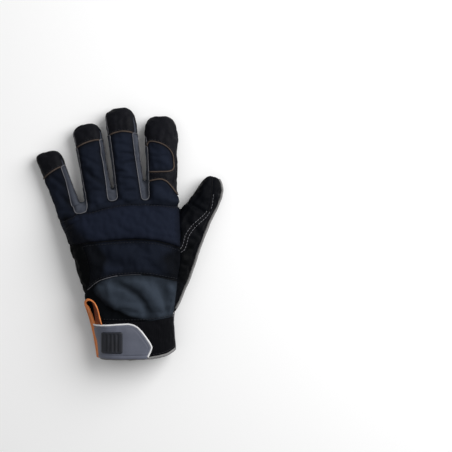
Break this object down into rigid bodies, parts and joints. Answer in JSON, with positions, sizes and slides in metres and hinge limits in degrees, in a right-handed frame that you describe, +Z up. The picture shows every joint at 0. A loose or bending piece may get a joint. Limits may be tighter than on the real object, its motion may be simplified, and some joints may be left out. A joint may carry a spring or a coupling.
{
  "type": "mechanic glove",
  "caption": "Left-hand mechanic's work glove with padded knuckle band, grey wrist panel, closing tab and orange pull loop, lying palm down.",
  "frame": {"origin": "flat rest of the heel patch under the palm, on the surface that the glove lies on", "axes": "+Y from the hem towards the middle fingertip, +Z up through the back of the hand, +X towards the thumb"},
  "size_m": [0.1812, 0.2437, 0.0403],
  "materials": {
    "back_cloth": "close-knit stretch nylon, matt navy-black",
    "pad_cloth": "stretch nylon over foam, matt navy-black",
    "grey_cloth": "soft brushed stretch cloth, blue-grey",
    "side_cloth": "knitted stretch tape, mid grey",
    "leather": "black synthetic suede leather, satin",
    "cuff_cloth": "black ribbed elastic cloth, matt",
    "binding": "pale grey woven edge binding",
    "strap_rubber": "moulded soft rubber, satin blue-grey",
    "edging": "moulded soft rubber, pale grey",
    "grip": "moulded soft rubber, dark grey",
    "loop_webbing": "woven orange webbing"
  },
  "bodies": {
    "root": {"back_panel": "back_cloth", "little_back": "back_cloth", "index_insert": "back_cloth", "index_wrap": "leather", "knuckle_pad": "pad_cloth", "metacarpal_panel": "back_cloth", "wrist_panel": "grey_cloth", "fourchette_little_ring": "side_cloth", "fourchette_ring_middle": "side_cloth", "fourchette_middle_index": "side_cloth", "cap_little": "leather", "cap_ring": "leather", "cap_middle": "leather", "thumb_back": "leather", "thumb_saddle": "leather", "cap_thumb": "leather", "thumb_palm": "leather", "thumb_binding": "binding", "palm_panel": "leather", "palm_pad_upper": "leather", "palm_pad_heel": "leather", "palm_pad_thumb": "leather", "cuff": "cuff_cloth", "cuff_binding": "binding", "strap_tab": "strap_rubber", "strap_edging": "edging", "grip_plate": "grip", "pull_loop": "loop_webbing"}
  },
  "joints": []
}
